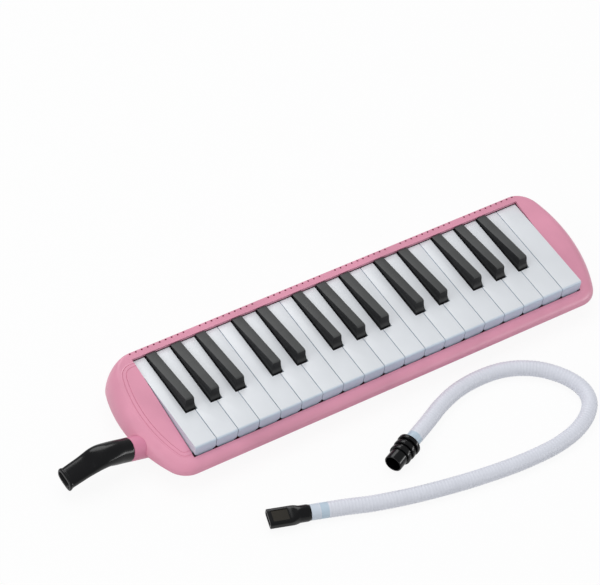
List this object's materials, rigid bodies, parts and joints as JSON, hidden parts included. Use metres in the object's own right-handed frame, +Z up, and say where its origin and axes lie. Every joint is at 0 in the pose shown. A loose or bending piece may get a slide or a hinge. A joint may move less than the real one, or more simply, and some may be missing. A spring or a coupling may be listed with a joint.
{
  "type": "melodica",
  "caption": "Free-reed wind instrument with a hinged piano keyboard in a soft-edged plastic case, a push-in mouthpiece, and a ribbed blowing hose laid beside it.",
  "frame": {"origin": "middle of the flat base that the case rests on", "axes": "+X along the keys towards the high notes, +Y from the player's edge to the back rail, +Z up"},
  "size_m": [0.487, 0.2199, 0.0463],
  "materials": {
    "case_pink": "moulded, satin gloss",
    "key_white": "moulded, gloss",
    "key_black": "fine grain, satin",
    "mouth_black": "moulded, gloss",
    "hose_frost": "milky, soft",
    "inner_resin": "moulded, plain",
    "reed_brass": "rolled",
    "spring_brass": "rolled strip",
    "steel": "plated",
    "felt": "pressed felt",
    "rubber": "matt"
  },
  "bodies": {
    "case": {"upper_case": "case_pink", "lower_case": "case_pink", "case_screws": "steel", "blow_socket": "case_pink", "air_duct": "inner_resin", "wind_chest": "inner_resin", "chest_screws": "steel", "chest_cover": "inner_resin", "cover_gasket": "rubber", "cover_screws": "steel", "bass_reed_plate": "reed_brass", "treble_reed_plate": "reed_brass", "reed_tongues": "reed_brass", "reed_plate_screws": "steel", "key_axle": "steel", "key_springs": "spring_brass", "white_stop_felt": "felt", "black_stop_felt": "felt", "drain_spring": "steel", "blow_hose": "hose_frost", "hose_adapter": "mouth_black", "hose_mouthpiece": "mouth_black"},
    "mouthpiece": {"mouthpiece": "mouth_black"},
    "drain": {"drain_button": "case_pink", "drain_valve": "rubber"},
    "white_key_01": {"white_key_01": "key_white"},
    "white_key_02": {"white_key_02": "key_white"},
    "white_key_03": {"white_key_03": "key_white"},
    "white_key_04": {"white_key_04": "key_white"},
    "white_key_05": {"white_key_05": "key_white"},
    "white_key_06": {"white_key_06": "key_white"},
    "white_key_07": {"white_key_07": "key_white"},
    "white_key_08": {"white_key_08": "key_white"},
    "white_key_09": {"white_key_09": "key_white"},
    "white_key_10": {"white_key_10": "key_white"},
    "white_key_11": {"white_key_11": "key_white"},
    "white_key_12": {"white_key_12": "key_white"},
    "white_key_13": {"white_key_13": "key_white"},
    "white_key_14": {"white_key_14": "key_white"},
    "white_key_15": {"white_key_15": "key_white"},
    "white_key_16": {"white_key_16": "key_white"},
    "white_key_17": {"white_key_17": "key_white"},
    "white_key_18": {"white_key_18": "key_white"},
    "white_key_19": {"white_key_19": "key_white"},
    "black_key_01": {"black_key_01": "key_black"},
    "black_key_02": {"black_key_02": "key_black"},
    "black_key_03": {"black_key_03": "key_black"},
    "black_key_04": {"black_key_04": "key_black"},
    "black_key_05": {"black_key_05": "key_black"},
    "black_key_06": {"black_key_06": "key_black"},
    "black_key_07": {"black_key_07": "key_black"},
    "black_key_08": {"black_key_08": "key_black"},
    "black_key_09": {"black_key_09": "key_black"},
    "black_key_10": {"black_key_10": "key_black"},
    "black_key_11": {"black_key_11": "key_black"},
    "black_key_12": {"black_key_12": "key_black"},
    "black_key_13": {"black_key_13": "key_black"}
  },
  "joints": [
    {"name": "white_key_01_press", "type": "hinge", "parent": "case", "child": "white_key_01", "pos_m": [-0.175, 0.01199, 0.0235], "axis": [1, 0, 0], "range_deg": [0, 4.2], "stiffness_Nm_per_rad": 0.3, "springref_deg": -5.73, "deforming": ["key_springs"]},
    {"name": "white_key_02_press", "type": "hinge", "parent": "case", "child": "white_key_02", "pos_m": [-0.1533, 0.01199, 0.0235], "axis": [1, 0, 0], "range_deg": [0, 4.2], "stiffness_Nm_per_rad": 0.3, "springref_deg": -5.73, "deforming": ["key_springs"]},
    {"name": "white_key_03_press", "type": "hinge", "parent": "case", "child": "white_key_03", "pos_m": [-0.1309, 0.01199, 0.0235], "axis": [1, 0, 0], "range_deg": [0, 4.2], "stiffness_Nm_per_rad": 0.3, "springref_deg": -5.73, "deforming": ["key_springs"]},
    {"name": "white_key_04_press", "type": "hinge", "parent": "case", "child": "white_key_04", "pos_m": [-0.1092, 0.01199, 0.0235], "axis": [1, 0, 0], "range_deg": [0, 4.2], "stiffness_Nm_per_rad": 0.3, "springref_deg": -5.73, "deforming": ["key_springs"]},
    {"name": "white_key_05_press", "type": "hinge", "parent": "case", "child": "white_key_05", "pos_m": [-0.0975, 0.01199, 0.0235], "axis": [1, 0, 0], "range_deg": [0, 4.2], "stiffness_Nm_per_rad": 0.3, "springref_deg": -5.73, "deforming": ["key_springs"]},
    {"name": "white_key_06_press", "type": "hinge", "parent": "case", "child": "white_key_06", "pos_m": [-0.0749, 0.01199, 0.0235], "axis": [1, 0, 0], "range_deg": [0, 4.2], "stiffness_Nm_per_rad": 0.3, "springref_deg": -5.73, "deforming": ["key_springs"]},
    {"name": "white_key_07_press", "type": "hinge", "parent": "case", "child": "white_key_07", "pos_m": [-0.0523, 0.01199, 0.0235], "axis": [1, 0, 0], "range_deg": [0, 4.2], "stiffness_Nm_per_rad": 0.3, "springref_deg": -5.73, "deforming": ["key_springs"]},
    {"name": "white_key_08_press", "type": "hinge", "parent": "case", "child": "white_key_08", "pos_m": [-0.0406, 0.01199, 0.0235], "axis": [1, 0, 0], "range_deg": [0, 4.2], "stiffness_Nm_per_rad": 0.3, "springref_deg": -5.73, "deforming": ["key_springs"]},
    {"name": "white_key_09_press", "type": "hinge", "parent": "case", "child": "white_key_09", "pos_m": [-0.0189, 0.01199, 0.0235], "axis": [1, 0, 0], "range_deg": [0, 4.2], "stiffness_Nm_per_rad": 0.3, "springref_deg": -5.73, "deforming": ["key_springs"]},
    {"name": "white_key_10_press", "type": "hinge", "parent": "case", "child": "white_key_10", "pos_m": [0.0035, 0.01199, 0.0235], "axis": [1, 0, 0], "range_deg": [0, 4.2], "stiffness_Nm_per_rad": 0.3, "springref_deg": -5.73, "deforming": ["key_springs"]},
    {"name": "white_key_11_press", "type": "hinge", "parent": "case", "child": "white_key_11", "pos_m": [0.0252, 0.01199, 0.0235], "axis": [1, 0, 0], "range_deg": [0, 4.2], "stiffness_Nm_per_rad": 0.3, "springref_deg": -5.73, "deforming": ["key_springs"]},
    {"name": "white_key_12_press", "type": "hinge", "parent": "case", "child": "white_key_12", "pos_m": [0.0369, 0.01199, 0.0235], "axis": [1, 0, 0], "range_deg": [0, 4.2], "stiffness_Nm_per_rad": 0.3, "springref_deg": -5.73, "deforming": ["key_springs"]},
    {"name": "white_key_13_press", "type": "hinge", "parent": "case", "child": "white_key_13", "pos_m": [0.0595, 0.01199, 0.0235], "axis": [1, 0, 0], "range_deg": [0, 4.2], "stiffness_Nm_per_rad": 0.3, "springref_deg": -5.73, "deforming": ["key_springs"]},
    {"name": "white_key_14_press", "type": "hinge", "parent": "case", "child": "white_key_14", "pos_m": [0.0821, 0.01199, 0.0235], "axis": [1, 0, 0], "range_deg": [0, 4.2], "stiffness_Nm_per_rad": 0.3, "springref_deg": -5.73, "deforming": ["key_springs"]},
    {"name": "white_key_15_press", "type": "hinge", "parent": "case", "child": "white_key_15", "pos_m": [0.0938, 0.01199, 0.0235], "axis": [1, 0, 0], "range_deg": [0, 4.2], "stiffness_Nm_per_rad": 0.3, "springref_deg": -5.73, "deforming": ["key_springs"]},
    {"name": "white_key_16_press", "type": "hinge", "parent": "case", "child": "white_key_16", "pos_m": [0.1155, 0.01199, 0.0235], "axis": [1, 0, 0], "range_deg": [0, 4.2], "stiffness_Nm_per_rad": 0.3, "springref_deg": -5.73, "deforming": ["key_springs"]},
    {"name": "white_key_17_press", "type": "hinge", "parent": "case", "child": "white_key_17", "pos_m": [0.1379, 0.01199, 0.0235], "axis": [1, 0, 0], "range_deg": [0, 4.2], "stiffness_Nm_per_rad": 0.3, "springref_deg": -5.73, "deforming": ["key_springs"]},
    {"name": "white_key_18_press", "type": "hinge", "parent": "case", "child": "white_key_18", "pos_m": [0.1596, 0.01199, 0.0235], "axis": [1, 0, 0], "range_deg": [0, 4.2], "stiffness_Nm_per_rad": 0.3, "springref_deg": -5.73, "deforming": ["key_springs"]},
    {"name": "white_key_19_press", "type": "hinge", "parent": "case", "child": "white_key_19", "pos_m": [0.1747, 0.01199, 0.0235], "axis": [1, 0, 0], "range_deg": [0, 4.2], "stiffness_Nm_per_rad": 0.3, "springref_deg": -5.73, "deforming": ["key_springs"]},
    {"name": "black_key_01_press", "type": "hinge", "parent": "case", "child": "black_key_01", "pos_m": [-0.1645, 0.01199, 0.0235], "axis": [1, 0, 0], "range_deg": [0, 4.2], "stiffness_Nm_per_rad": 0.3, "springref_deg": -5.73, "deforming": ["key_springs"]},
    {"name": "black_key_02_press", "type": "hinge", "parent": "case", "child": "black_key_02", "pos_m": [-0.1421, 0.01199, 0.0235], "axis": [1, 0, 0], "range_deg": [0, 4.2], "stiffness_Nm_per_rad": 0.3, "springref_deg": -5.73, "deforming": ["key_springs"]},
    {"name": "black_key_03_press", "type": "hinge", "parent": "case", "child": "black_key_03", "pos_m": [-0.1197, 0.01199, 0.0235], "axis": [1, 0, 0], "range_deg": [0, 4.2], "stiffness_Nm_per_rad": 0.3, "springref_deg": -5.73, "deforming": ["key_springs"]},
    {"name": "black_key_04_press", "type": "hinge", "parent": "case", "child": "black_key_04", "pos_m": [-0.0863, 0.01199, 0.0235], "axis": [1, 0, 0], "range_deg": [0, 4.2], "stiffness_Nm_per_rad": 0.3, "springref_deg": -5.73, "deforming": ["key_springs"]},
    {"name": "black_key_05_press", "type": "hinge", "parent": "case", "child": "black_key_05", "pos_m": [-0.0635, 0.01199, 0.0235], "axis": [1, 0, 0], "range_deg": [0, 4.2], "stiffness_Nm_per_rad": 0.3, "springref_deg": -5.73, "deforming": ["key_springs"]},
    {"name": "black_key_06_press", "type": "hinge", "parent": "case", "child": "black_key_06", "pos_m": [-0.0301, 0.01199, 0.0235], "axis": [1, 0, 0], "range_deg": [0, 4.2], "stiffness_Nm_per_rad": 0.3, "springref_deg": -5.73, "deforming": ["key_springs"]},
    {"name": "black_key_07_press", "type": "hinge", "parent": "case", "child": "black_key_07", "pos_m": [-0.0077, 0.01199, 0.0235], "axis": [1, 0, 0], "range_deg": [0, 4.2], "stiffness_Nm_per_rad": 0.3, "springref_deg": -5.73, "deforming": ["key_springs"]},
    {"name": "black_key_08_press", "type": "hinge", "parent": "case", "child": "black_key_08", "pos_m": [0.0147, 0.01199, 0.0235], "axis": [1, 0, 0], "range_deg": [0, 4.2], "stiffness_Nm_per_rad": 0.3, "springref_deg": -5.73, "deforming": ["key_springs"]},
    {"name": "black_key_09_press", "type": "hinge", "parent": "case", "child": "black_key_09", "pos_m": [0.0481, 0.01199, 0.0235], "axis": [1, 0, 0], "range_deg": [0, 4.2], "stiffness_Nm_per_rad": 0.3, "springref_deg": -5.73, "deforming": ["key_springs"]},
    {"name": "black_key_10_press", "type": "hinge", "parent": "case", "child": "black_key_10", "pos_m": [0.0709, 0.01199, 0.0235], "axis": [1, 0, 0], "range_deg": [0, 4.2], "stiffness_Nm_per_rad": 0.3, "springref_deg": -5.73, "deforming": ["key_springs"]},
    {"name": "black_key_11_press", "type": "hinge", "parent": "case", "child": "black_key_11", "pos_m": [0.1043, 0.01199, 0.0235], "axis": [1, 0, 0], "range_deg": [0, 4.2], "stiffness_Nm_per_rad": 0.3, "springref_deg": -5.73, "deforming": ["key_springs"]},
    {"name": "black_key_12_press", "type": "hinge", "parent": "case", "child": "black_key_12", "pos_m": [0.1267, 0.01199, 0.0235], "axis": [1, 0, 0], "range_deg": [0, 4.2], "stiffness_Nm_per_rad": 0.3, "springref_deg": -5.73, "deforming": ["key_springs"]},
    {"name": "black_key_13_press", "type": "hinge", "parent": "case", "child": "black_key_13", "pos_m": [0.1491, 0.01199, 0.0235], "axis": [1, 0, 0], "range_deg": [0, 4.2], "stiffness_Nm_per_rad": 0.3, "springref_deg": -5.73, "deforming": ["key_springs"]},
    {"name": "mouthpiece_pull", "type": "slide", "parent": "case", "child": "mouthpiece", "axis": [-0.9613, 0, 0.2756], "range_m": [0, 0.016]},
    {"name": "drain_press", "type": "slide", "parent": "case", "child": "drain", "axis": [-1, 0, 0], "range_m": [0, 0.0025], "stiffness_N_per_m": 400, "springref_m": -0.002, "deforming": ["drain_spring"]}
  ]
}
